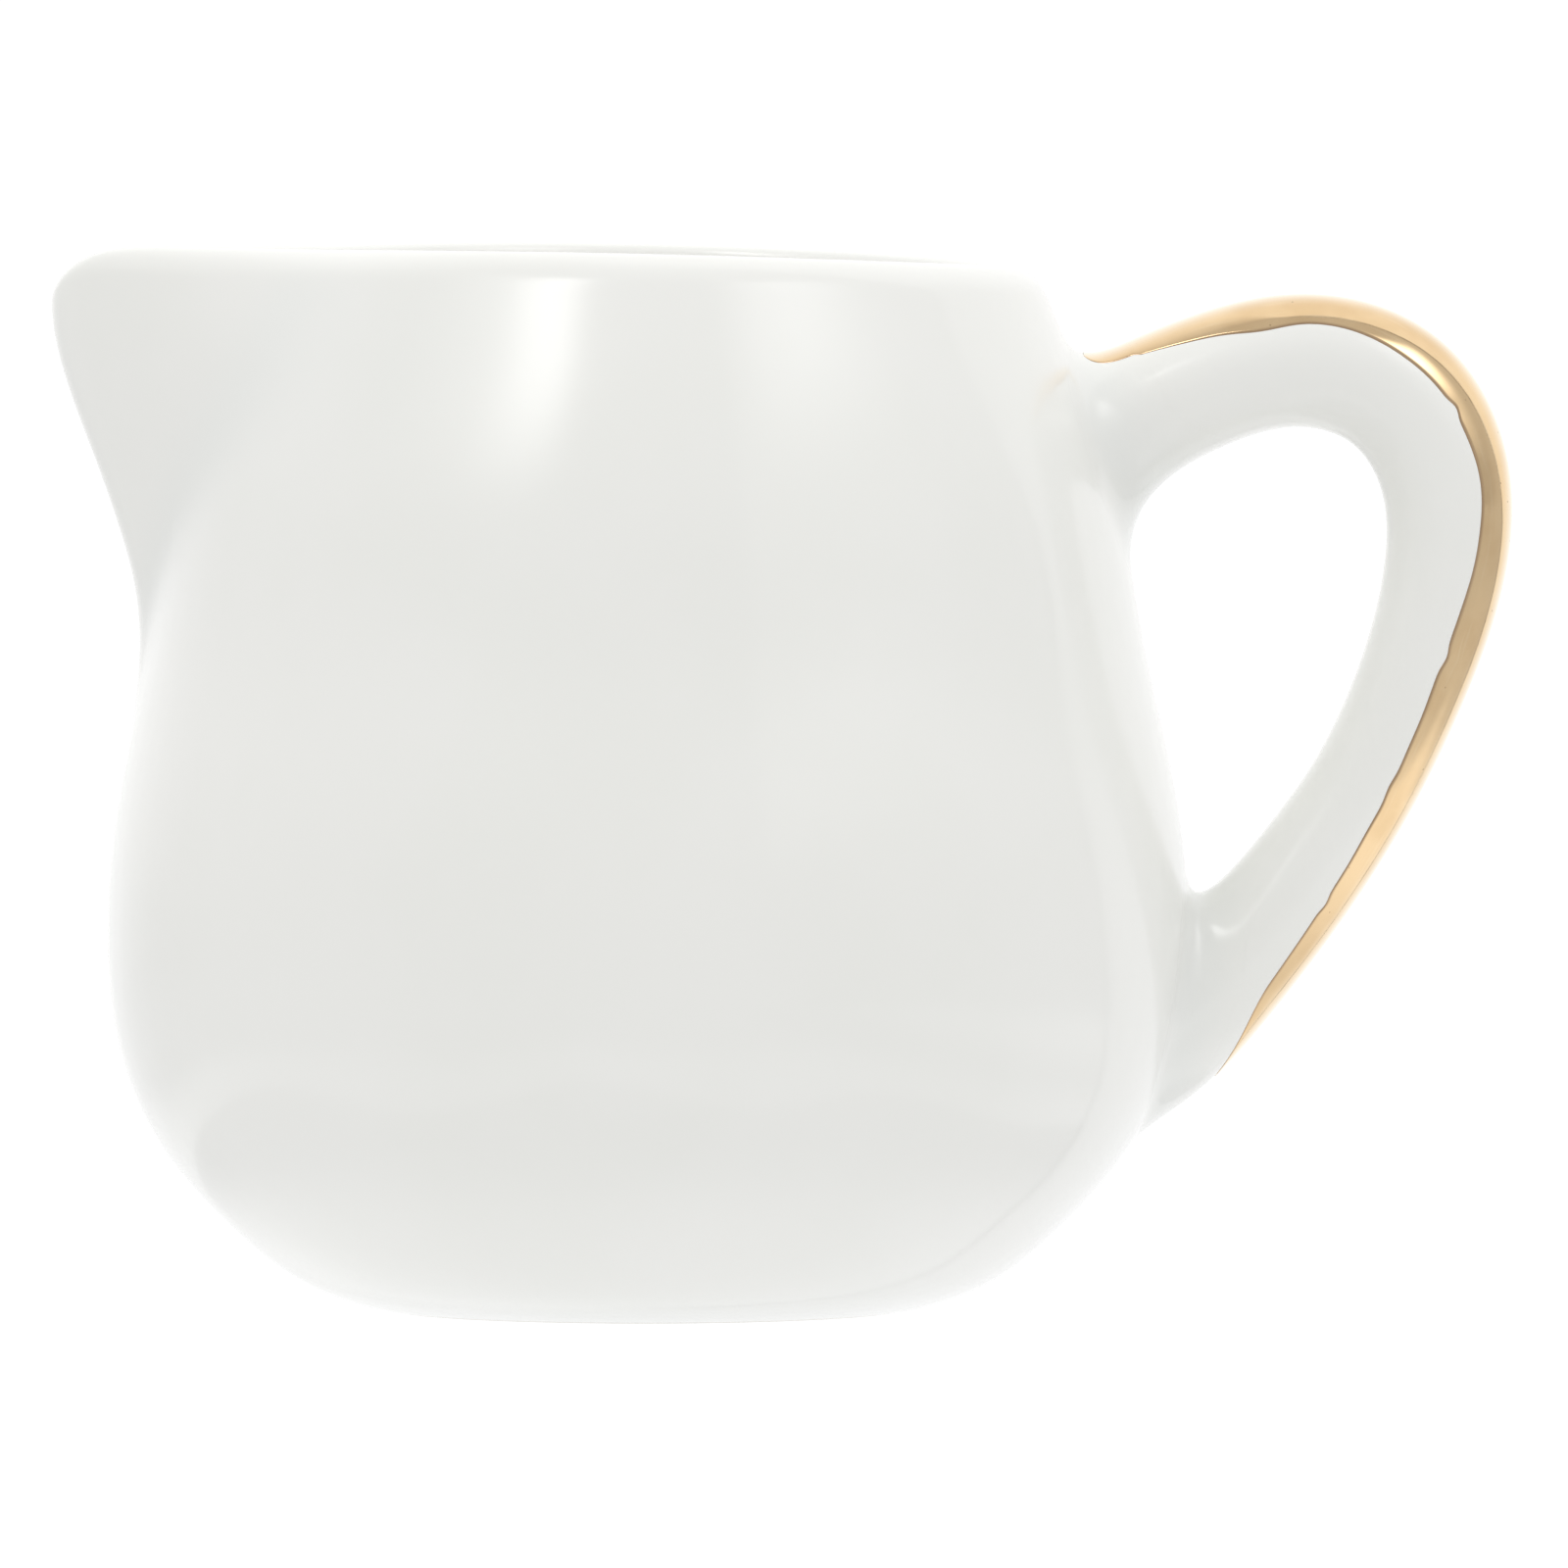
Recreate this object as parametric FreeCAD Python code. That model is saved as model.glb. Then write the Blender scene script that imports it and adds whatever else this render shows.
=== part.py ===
import FreeCAD, Part
import math
import os

# A small glazed porcelain cream jug, made the way a pottery makes one: a thin cast body with
# its beak spout, a separately pressed handle luted on with slip at two roots, and a band of
# gilding along the back of the handle.
#
# Millimetres.  The origin is the centre of the foot on the table, +Z is up, the spout points
# along -X and the handle stands out along +X.

# ---- driving dimensions ----------------------------------------------------------------
FOOT_RADIUS = 17.7          # outer edge of the foot ring where it meets the table
FOOT_RING_WIDTH = 2.6
FOOT_RECESS = 1.5           # height of the hollow under the foot
RECESS_ROUND = 1.0          # rounding where the hollow's wall meets its ceiling
WALL = 2.8                  # radial wall thickness of the body
FLOOR_HEIGHT = 4.5          # inside floor above the table
FLOOR_RADIUS = 11.0         # flat middle of the inside floor

RIM_HEIGHT = 69.0           # crest of the rim above the table, on the axis
RIM_TILT = 0.0215           # the rim drops this much per millimetre towards the handle
RIM_SIDE_RISE = 0.50        # and stands this much higher at the jug's two sides
LIP_HEIGHT = 1.9            # height over which the wall rounds over into the rim's crest

# Outside and inside of the body without its spout: (radius, height) from the foot upwards.
# Above SPOUT_FOOT the inside runs WALL behind the outside.
BODY_OUTLINE = [(FOOT_RADIUS, 0.0), (22.1, 1.55), (27.3, 5.5), (31.7, 10.6), (34.3, 16.2),
                (35.45, 24.0), (34.8, 33.0), (32.75, 43.0), (30.8, 53.5), (28.1, 62.0), (24.9, 69.6)]
INNER_BOWL = [(FLOOR_RADIUS, FLOOR_HEIGHT), (17.0, 4.9), (24.6, 7.9), (30.0, 13.4), (32.4, 21.0)]

# The beak spout is a rounded tip with two flat cheeks.
SPOUT_FOOT = 30.0           # below this height the body is plainly round
SPOUT_OUTLINE = [(33.0, 35.0), (33.1, 40.0), (33.15, 44.0), (33.5, 47.3), (34.45, 51.0), (36.05, 55.6),
                 (37.95, 60.7), (38.95, 65.2), (38.6, 70.5)]    # (reach of the tip from the axis, height)
TIP_RADIUS = 4.8
CHEEK_ANGLE = 29.5          # turn of a cheek's normal from the spout's line, at CHEEK_HEIGHT
CHEEK_HEIGHT = 46.0
CHEEK_SPREAD = 1.30         # degrees that the turn grows per millimetre of height
LEAST_CHEEK = 10.0          # the turn doesn't fall below this, lower down inside the belly
CREASE_WIDTH = 1.9          # width of the soft crease beside the spout, at CHEEK_HEIGHT
CREASE_GROWTH = 0.10        # and its growth per millimetre of height
LEAST_CREASE = 1.7
TIP_DROOP = 2.0             # the rim dips at the pouring tip
DROOP_ANGLE = 4.2           # over about this many degrees to each side

# The handle's centre line from the upper root round to the lower root, with its oval section:
# (x, z, half depth in the plane of the handle, half width, half angle of the gilding).
HANDLE_LINE = [(23.0, 54.0, 4.7, 5.8, 0.0), (30.0, 57.6, 4.6, 5.6, 50.0),
               (36.7, 60.8, 4.35, 5.1, 55.0), (43.1, 62.15, 4.35, 4.7, 55.0),
               (49.1, 60.1, 4.45, 4.5, 60.0), (52.25, 54.7, 4.25, 4.4, 60.0),
               (52.3, 48.6, 3.97, 4.3, 66.0), (50.05, 40.9, 3.62, 4.2, 69.0),
               (46.6, 33.75, 3.56, 4.2, 63.0), (42.2, 27.35, 3.82, 4.4, 60.0),
               (37.6, 21.6, 4.0, 4.8, 50.0), (33.0, 17.6, 4.6, 5.0, 20.0),
               (26.0, 14.2, 4.9, 5.1, 0.0)]
HANDLE_SECTIONS = 33
HANDLE_AROUND = 24
UPPER_ROOT = (24.0, 40.0)   # the x range in which each root of the handle meets the body
LOWER_ROOT = (28.0, 44.0)

# Slip joints: size of the soft fillet at the outer back, at the sides and at the inner side
# of the handle.
UPPER_SLIP = (1.6, 3.0, 5.0)
LOWER_SLIP = (1.0, 2.2, 3.9)
SLIP_STEPS = (-0.2, 0.0, 0.1, 0.25, 0.5, 0.8, 1.15)
SLIP_AROUND = 36
SLIP_TUCK = 0.3             # how far the collar's outer end tucks in under the handle's surface
SLIP_CORE = 1.2             # and how far its hidden end rings lie under it
SLIP_ENDS = (0.3, 0.9)      # where the end rings lie, as shares of the root's stretch of handle

GILT_THICKNESS = 0.2        # stands in for gilding a few thousandths of a millimetre thick
GILT_START = 31.6           # x where the gilding starts at the upper root
GILT_END = 34.8             # x where it tapers out at the lower root
GILT_STEPS = 40             # steps along the painted edge
TRIM_REACH = 3.0            # the trimming block reaches this far outside the handle
TRIM_HALF_WIDTH = 12.0      # and this far to each side of it

AROUND = 72                 # points in one turn of the body's wall
SPOUT_CROWDING = 0.7        # how strongly those points gather at the spout
BELLY_STEPS = 9             # rings of points from the foot to SPOUT_FOOT, outside and inside
UPPER_STEPS = 13            # and from there to the lip
HALVINGS = 40               # halvings in a search along a curve
TANGENT_STEP = 0.05         # half the distance over which the handle's direction is measured


# ---- smooth curves ---------------------------------------------------------------------
def spline_bends(knots, values):
    """Second derivatives of the natural cubic spline through the values."""
    count = len(knots)
    bends = [0.0] * count
    carry = [0.0] * count
    for i in range(1, count - 1):
        before = knots[i] - knots[i - 1]
        after = knots[i + 1] - knots[i]
        rise = (values[i + 1] - values[i]) / after - (values[i] - values[i - 1]) / before
        pivot = 2.0 * (before + after) - before * carry[i - 1]
        carry[i] = after / pivot
        bends[i] = (6.0 * rise - before * bends[i - 1]) / pivot
    for i in range(count - 2, 0, -1):
        bends[i] -= carry[i] * bends[i + 1]
    return bends


class SmoothCurve:
    """A cubic spline through a few points, measured by the distance along its first two columns."""

    def __init__(self, points):
        self.knots = [0.0]
        for near, far in zip(points, points[1:]):
            self.knots.append(self.knots[-1] + math.dist(near[:2], far[:2]))
        self.columns = [list(values) for values in zip(*points)]
        self.bends = [spline_bends(self.knots, values) for values in self.columns]
        self.length = self.knots[-1]

    def at(self, distance):
        """The point at this distance; beyond the ends the curve runs on straight."""
        inside = min(max(distance, 0.0), self.length)
        i = 0
        while i < len(self.knots) - 2 and inside > self.knots[i + 1]:
            i += 1
        span = self.knots[i + 1] - self.knots[i]
        b = (inside - self.knots[i]) / span
        a = 1.0 - b
        point = []
        for values, bends in zip(self.columns, self.bends):
            bow = (a ** 3 - a) * bends[i] + (b ** 3 - b) * bends[i + 1]
            value = a * values[i] + b * values[i + 1] + bow * span ** 2 / 6.0
            slope = (values[i + 1] - values[i]) / span
            slope += ((1.0 - 3.0 * a * a) * bends[i] + (3.0 * b * b - 1.0) * bends[i + 1]) * span / 6.0
            point.append(value + slope * (distance - inside))
        return point

    def distance_at_height(self, height):
        """The distance at which the rising second column reaches this height."""
        low = -self.length
        high = 2.0 * self.length
        for _ in range(HALVINGS):
            middle = 0.5 * (low + high)
            if self.at(middle)[1] < height:
                low = middle
            else:
                high = middle
        return low

    def first_at_height(self, height):
        """The first column where the rising second column reaches this height."""
        return self.at(self.distance_at_height(height))[0]


BODY = SmoothCurve(BODY_OUTLINE)
BOWL_TOP = [(BODY.first_at_height(z) - WALL, z) for z in (SPOUT_FOOT, SPOUT_FOOT + 6.0)]
BOWL = SmoothCurve(INNER_BOWL + BOWL_TOP)
SPOUT = SmoothCurve(SPOUT_OUTLINE)
HANDLE = SmoothCurve(HANDLE_LINE)


def blend_max(a, b, width):
    """The larger of two values, with a soft changeover about this wide."""
    closeness = max(width - abs(a - b), 0.0) / width
    return max(a, b) + width * closeness ** 3 / 6.0


# ---- the body's wall -------------------------------------------------------------------
def spout_radius(angle, height, inset):
    """Distance from the axis to the beak, at an angle in radians from the spout's line."""
    spread = CHEEK_ANGLE + CHEEK_SPREAD * (height - CHEEK_HEIGHT)
    cheek = math.radians(max(spread, LEAST_CHEEK))
    tip_radius = TIP_RADIUS - inset
    centre = SPOUT.first_at_height(height) - TIP_RADIUS
    cheek_distance = centre * math.cos(cheek) + tip_radius
    turn = abs(angle)
    if turn > cheek:
        return cheek_distance * math.cos(turn - cheek)
    tangent_angle = math.atan2(tip_radius * math.sin(cheek), centre + tip_radius * math.cos(cheek))
    if turn > tangent_angle:
        return cheek_distance / math.cos(turn - cheek)
    across = centre * math.sin(turn)
    return centre * math.cos(turn) + math.sqrt(tip_radius ** 2 - across ** 2)


def wall_radius(angle, height, inset):
    """Radius of the wall's outside (inset 0) or of its inside (inset WALL) above SPOUT_FOOT."""
    round_part = BODY.first_at_height(height) - inset
    width = CREASE_WIDTH + CREASE_GROWTH * (height - CHEEK_HEIGHT)
    return blend_max(round_part, spout_radius(angle, height, inset), max(width, LEAST_CREASE))


def rim_height(angle):
    """Height of the rim's crest: it slopes to the handle, bows up at the sides, dips at the tip."""
    slope = RIM_TILT * wall_radius(angle, RIM_HEIGHT, 0.0) * math.cos(angle)
    bow = RIM_SIDE_RISE * math.sin(angle) ** 2
    return RIM_HEIGHT + slope + bow - TIP_DROOP * math.exp(-(math.degrees(angle) / DROOP_ANGLE) ** 2)


def lip_points(angle, crest, inset, degrees):
    """Points on one side of the rounded lip, at these angles up the roll."""
    half_lip = 0.5 * (wall_radius(angle, crest, 0.0) - wall_radius(angle, crest, WALL))
    inward = -1.0 if inset == 0.0 else 1.0
    points = []
    for turn in [math.radians(value) for value in degrees]:
        z = crest - LIP_HEIGHT * (1.0 - math.sin(turn))
        roll = half_lip * (1.0 - math.cos(turn))
        points.append((wall_radius(angle, z, inset) + inward * roll, z))
    return points


def wall_section(angle):
    """(radius, height) points from the foot up the outside, over the lip and down the inside."""
    belly = BODY.distance_at_height(SPOUT_FOOT)
    crest = rim_height(angle)
    rise = crest - LIP_HEIGHT - SPOUT_FOOT
    heights = [SPOUT_FOOT + rise * k / UPPER_STEPS for k in range(1, UPPER_STEPS + 1)]
    points = [tuple(BODY.at(belly * k / BELLY_STEPS)) for k in range(BELLY_STEPS + 1)]
    points += [(wall_radius(angle, z, 0.0), z) for z in heights]
    points += lip_points(angle, crest, 0.0, (30.0, 60.0, 90.0))
    points += lip_points(angle, crest, WALL, (60.0, 30.0))
    points += [(wall_radius(angle, z, WALL), z) for z in reversed(heights)]
    bowl = BOWL.knots[len(INNER_BOWL)]
    points += [tuple(BOWL.at(bowl * k / BELLY_STEPS)) for k in range(BELLY_STEPS, -1, -1)]
    return points


def closed_curve(points):
    """A smooth closed curve through points that sit at matching places round every ring."""
    curve = Part.BSplineCurve()
    marks = [float(k) for k in range(len(points) + 1)]
    curve.interpolate(Points=points, PeriodicFlag=True, Parameters=marks)
    return curve


def skin_solid(rings):
    """A solid under one smooth skin through the rings; its first and last rings are flat ends."""
    marks = [0.0]
    for near, far in zip(rings, rings[1:]):
        gaps = [a.distanceToPoint(b) for a, b in zip(near, far)]
        marks.append(marks[-1] + sum(gaps) / len(gaps))
    curves = [closed_curve(ring) for ring in rings]
    columns = []
    for poles in zip(*[curve.getPoles() for curve in curves]):
        column = Part.BSplineCurve()
        column.interpolate(Points=list(poles), Parameters=marks)
        columns.append(column)
    surface = Part.BSplineSurface()
    surface.buildFromPolesMultsKnots(
        [column.getPoles() for column in columns],
        curves[0].getMultiplicities(), columns[0].getMultiplicities(),
        curves[0].getKnots(), columns[0].getKnots(), True, False,
        curves[0].Degree, columns[0].Degree)
    ends = [Part.Face(Part.Wire([curve.toShape()])) for curve in (curves[0], curves[-1])]
    shell = Part.Shell([surface.toShape()] + ends)
    shell.sewShape()
    solid = Part.Solid(shell)
    if solid.Volume < 0.0:
        solid.reverse()
    return solid


def body_shape():
    """The thin cast wall with its spout, less the shallow hollow under the foot."""
    turns = []
    for k in range(AROUND):
        share = -1.0 + 2.0 * (k + 0.5) / AROUND
        crowding = SPOUT_CROWDING * math.sin(math.pi * share) / math.pi
        turns.append(math.pi * (share - crowding))
    sections = [wall_section(turn) for turn in turns]
    rings = []
    for ring in zip(*sections):
        points = []
        for turn, (radius, height) in zip(turns, ring):
            points.append(FreeCAD.Vector(-radius * math.cos(turn), -radius * math.sin(turn), height))
        rings.append(points)
    wall = skin_solid(rings)
    recess = Part.makeCylinder(FOOT_RADIUS - FOOT_RING_WIDTH, FOOT_RECESS)
    ceiling_edge = [e for e in recess.Edges if e.BoundBox.ZMin > 0.5 * FOOT_RECESS]
    return wall.cut(recess.makeFillet(RECESS_ROUND, ceiling_edge))


# ---- the handle ------------------------------------------------------------------------
def handle_frame(distance):
    """Centre, outward normal and sizes of the handle's section at a distance along its line."""
    x, z, depth, width, gilt = HANDLE.at(distance)
    before = HANDLE.at(distance - TANGENT_STEP)
    after = HANDLE.at(distance + TANGENT_STEP)
    run = math.dist(before[:2], after[:2])
    normal = FreeCAD.Vector(-(after[1] - before[1]) / run, 0.0, (after[0] - before[0]) / run)
    return FreeCAD.Vector(x, 0.0, z), normal, depth, width, gilt


def handle_point(distance, turn, swell=0.0):
    """A point on the handle; a turn of 0 is the outer back and pi the side by the fingers."""
    centre, normal, depth, width, _ = handle_frame(distance)
    across = FreeCAD.Vector(0.0, (width + swell) * math.sin(turn), 0.0)
    return centre + normal * ((depth + swell) * math.cos(turn)) + across


def handle_sweep(swell=0.0):
    """The full length of the handle, running on through the wall at both roots."""
    turns = [2.0 * math.pi * k / HANDLE_AROUND for k in range(HANDLE_AROUND)]
    rings = []
    for k in range(HANDLE_SECTIONS):
        distance = HANDLE.length * k / (HANDLE_SECTIONS - 1)
        rings.append([handle_point(distance, turn, swell) for turn in turns])
    return skin_solid(rings)


def outermost(shape):
    """The one solid that reaches furthest along +X."""
    return max(shape.Solids, key=lambda solid: solid.BoundBox.XMax)


def distance_at_x(x, low, high):
    """Distance along the handle's line between low and high where it reaches this x."""
    rising = HANDLE.at(low)[0] < HANDLE.at(high)[0]
    for _ in range(HALVINGS):
        middle = 0.5 * (low + high)
        if (HANDLE.at(middle)[0] < x) == rising:
            low = middle
        else:
            high = middle
    return 0.5 * (low + high)


# ---- the slip joints -------------------------------------------------------------------
def clearance(point):
    """How far a point stands out from the round body's surface, measured level."""
    return math.hypot(point.x, point.y) - BODY.first_at_height(point.z)


def ruling_point(turn, gap, inner, outer):
    """Where the handle's surface stands this far out from the body, near one root."""
    for _ in range(HALVINGS):
        middle = 0.5 * (inner + outer)
        if clearance(handle_point(middle, turn)) < gap:
            inner = middle
        else:
            outer = middle
    return handle_point(inner, turn), inner


def slip_ring(share, sizes, inner, outer):
    """One ring of the fillet, this share of the way from the body out along the handle."""
    back, side, fingers = sizes
    left_to_go = min(max(1.0 - share, 0.0), 1.0)
    points = []
    for k in range(SLIP_AROUND):
        turn = 2.0 * math.pi * k / SLIP_AROUND
        end_size = back if math.cos(turn) > 0.0 else fingers
        size = side + (end_size - side) * math.cos(turn) ** 2
        flare = size * (1.0 - math.sqrt(1.0 - left_to_go ** 2))
        if share > 1.0:
            flare = -SLIP_TUCK
        base, distance = ruling_point(turn, size * share, inner, outer)
        centre = handle_frame(distance)[0]
        away = FreeCAD.Vector(0.0, base.y, base.z - centre.z)
        away.normalize()
        spot = base + away * flare
        reach = BODY.first_at_height(spot.z) + size * share
        spot.x = math.sqrt(reach ** 2 - spot.y ** 2)
        points.append(spot)
    return points


def slip_shape(sizes, inner, outer, handle, body):
    """The soft collar of slip round one root, trimmed against the handle and the body."""
    turns = [2.0 * math.pi * k / SLIP_AROUND for k in range(SLIP_AROUND)]
    buried, emerged = [inner + share * (outer - inner) for share in SLIP_ENDS]
    rings = [[handle_point(buried, turn, -SLIP_CORE) for turn in turns]]
    rings += [slip_ring(share, sizes, inner, outer) for share in SLIP_STEPS]
    rings.append([handle_point(emerged, turn, -SLIP_CORE) for turn in turns])
    wires = [Part.Wire([closed_curve(ring).toShape()]) for ring in rings]
    horn = Part.makeLoft(wires, True, True)
    return outermost(horn.cut(body).cut(handle))


# ---- the gilding -----------------------------------------------------------------------
def gilt_shape(sweep, body, slips):
    """A thin skin on the outer back of the handle, between the two slip joints."""
    start = distance_at_x(GILT_START, 0.0, 0.5 * HANDLE.length)
    end = distance_at_x(GILT_END, 0.5 * HANDLE.length, HANDLE.length)
    edge_points = []
    outer_points = []
    for k in range(GILT_STEPS + 1):
        distance = start + (end - start) * k / GILT_STEPS
        centre, normal, depth, _, gilt = handle_frame(distance)
        edge_points.append(centre + normal * (depth * math.cos(math.radians(gilt))))
        outer_points.append(centre + normal * (depth + TRIM_REACH))
    painted_edge = Part.BSplineCurve()
    painted_edge.interpolate(edge_points)
    outer_edge = Part.BSplineCurve()
    outer_edge.interpolate(outer_points)
    edges = [painted_edge.toShape(), outer_edge.toShape()]
    edges += [Part.makeLine(edge_points[end], outer_points[end]) for end in (0, -1)]
    region = Part.Face(Part.Wire(Part.__sortEdges__(edges)))
    region.translate(FreeCAD.Vector(0.0, -TRIM_HALF_WIDTH, 0.0))
    block = region.extrude(FreeCAD.Vector(0.0, 2.0 * TRIM_HALF_WIDTH, 0.0))
    skin = handle_sweep(GILT_THICKNESS).cut(sweep).common(block).cut(body)
    for slip in slips:
        skin = skin.cut(slip)
    return max(skin.Solids, key=lambda solid: solid.Volume)


def main():
    body = body_shape()
    sweep = handle_sweep()
    handle = outermost(sweep.cut(body))
    half = 0.5 * HANDLE.length
    upper = [distance_at_x(x, 0.0, half) for x in UPPER_ROOT]
    lower = [distance_at_x(x, half, HANDLE.length) for x in LOWER_ROOT]
    upper_slip = slip_shape(UPPER_SLIP, upper[0], upper[1], handle, body)
    lower_slip = slip_shape(LOWER_SLIP, lower[0], lower[1], handle, body)
    pieces = {
        "body": body,
        "handle": handle,
        "upper_handle_slip": upper_slip,
        "lower_handle_slip": lower_slip,
        "gilt_band": gilt_shape(sweep, body, [upper_slip, lower_slip]),
    }
    os.makedirs("parts", exist_ok=True)
    for name, shape in pieces.items():
        shape.exportStep("parts/" + name + ".step")
        box = shape.BoundBox
        print(name, shape.isValid(), len(shape.Solids), round(shape.Volume, 1),
              [round(v, 2) for v in (box.XMin, box.XMax, box.YMin, box.YMax, box.ZMin, box.ZMax)])


main()
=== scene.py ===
import math

import bpy
import numpy as np
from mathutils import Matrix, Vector


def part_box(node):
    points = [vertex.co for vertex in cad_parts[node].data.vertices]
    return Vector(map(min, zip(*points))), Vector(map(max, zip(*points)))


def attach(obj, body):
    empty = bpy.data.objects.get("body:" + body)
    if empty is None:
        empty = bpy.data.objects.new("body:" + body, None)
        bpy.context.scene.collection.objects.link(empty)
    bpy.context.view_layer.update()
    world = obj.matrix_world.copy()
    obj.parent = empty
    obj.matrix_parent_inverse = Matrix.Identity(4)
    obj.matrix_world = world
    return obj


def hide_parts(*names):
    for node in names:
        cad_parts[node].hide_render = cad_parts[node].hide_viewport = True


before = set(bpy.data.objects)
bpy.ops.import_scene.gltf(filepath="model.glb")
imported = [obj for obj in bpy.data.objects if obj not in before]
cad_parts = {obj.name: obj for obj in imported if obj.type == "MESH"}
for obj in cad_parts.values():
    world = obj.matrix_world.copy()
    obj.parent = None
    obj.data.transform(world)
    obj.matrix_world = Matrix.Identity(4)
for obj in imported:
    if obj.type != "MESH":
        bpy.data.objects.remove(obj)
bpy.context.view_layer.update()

# The looks of a small glazed porcelain cream jug: a thin cast body with a beak spout, a handle
# luted on with slip at two roots, and hand-painted gilding along the handle's back.
# Shapes are worked out in millimetres from the same few dimensions as the CAD model, with +Z
# up, the spout along -X and the handle along +X, and are scaled to the frame at the end.
# Some things differ on purpose: the slip fillets run out further along the handle and the
# upper one is larger at the outer back, the gilding is thinner, starts on the slip and has
# other widths near its ends, and the wall is very slightly uneven.

# ---- dimensions (mm) -------------------------------------------------------------------
FOOT_RADIUS = 17.7
WALL = 2.8
RIM_HEIGHT = 69.0
RIM_TILT = 0.0215           # the rim drops this much per millimetre towards the handle
RIM_SIDE_RISE = 0.50        # and stands this much higher at the jug's two sides
LIP_HEIGHT = 1.9

BODY_OUTLINE = [(FOOT_RADIUS, 0.0), (22.1, 1.55), (27.3, 5.5), (31.7, 10.6), (34.3, 16.2),
                (35.45, 24.0), (34.8, 33.0), (32.75, 43.0), (30.8, 53.5), (28.1, 62.0), (24.9, 69.6)]
INNER_BOWL = [(11.0, 4.5), (17.0, 4.9), (24.6, 7.9), (30.0, 13.4), (32.4, 21.0)]
# Underside, from the centre of the hollow to the outer edge of the foot ring.
UNDERSIDE = [(0.0, 1.5), (7.0, 1.5), (14.0, 1.5), (14.4, 1.42), (14.8, 1.15), (15.0, 0.7), (15.1, 0.25),
             (15.25, 0.06), (15.6, 0.0), (16.4, 0.0), (17.2, 0.0)]

SPOUT_FOOT = 30.0
SPOUT_OUTLINE = [(33.0, 35.0), (33.1, 40.0), (33.15, 44.0), (33.5, 47.3), (34.45, 51.0), (36.05, 55.6),
                 (37.95, 60.7), (38.95, 65.2), (38.6, 70.5)]
TIP_RADIUS = 4.8
CHEEK_ANGLE = 29.5
CHEEK_HEIGHT = 46.0
CHEEK_SPREAD = 1.30
LEAST_CHEEK = 10.0
CREASE_WIDTH = 1.9
CREASE_GROWTH = 0.10
LEAST_CREASE = 1.7
TIP_DROOP = 2.0
DROOP_ANGLE = 4.2

# The handle's line from the upper root round to the lower: (x, z, half depth, half width,
# half angle of the gilding in degrees).
HANDLE_LINE = [(23.0, 54.0, 4.7, 5.8, 28.0), (30.0, 57.6, 4.6, 5.6, 32.0),
               (36.7, 60.8, 4.35, 5.1, 50.0), (43.1, 62.15, 4.35, 4.7, 55.0),
               (49.1, 60.1, 4.45, 4.5, 60.0), (52.25, 54.7, 4.25, 4.4, 60.0),
               (52.3, 48.6, 3.97, 4.3, 66.0), (50.05, 40.9, 3.62, 4.2, 69.0),
               (46.6, 33.75, 3.56, 4.2, 63.0), (42.2, 27.35, 3.82, 4.4, 58.0),
               (37.6, 21.6, 4.0, 4.8, 50.0), (33.0, 17.6, 4.6, 5.0, 36.0),
               (26.0, 14.2, 4.9, 5.1, 0.0)]
UPPER_ROOT = (24.0, 40.0)
LOWER_ROOT = (28.0, 44.0)
UPPER_SLIP = (2.3, 3.0, 5.0)     # fillet size at the outer back, the sides and the finger side
LOWER_SLIP = (1.0, 2.2, 3.9)
SLIP_RUN_OUT = 1.8               # the slip thins out this much further along the handle
ROOT_DEPTH = 1.2                 # the handle's ends are sunk this deep in the wall
GILT_END = 34.5                  # x where the painted band runs out at the lower root
GILT_LIFT = 0.035                # thickness of the painted band as drawn
GILT_UNDER = 0.12                # its hidden underside lies this deep
GILT_COLUMNS = 33
GILT_ROWS = 300
GILT_HEAD_ROWS = 14              # rows of its rounded start, on the slip

AROUND = 320                     # columns round the body
SPOUT_CROWDING = 0.7
HANDLE_AROUND = 96
HANDLE_ROWS = 260
SLIP_AROUND = 160


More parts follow.
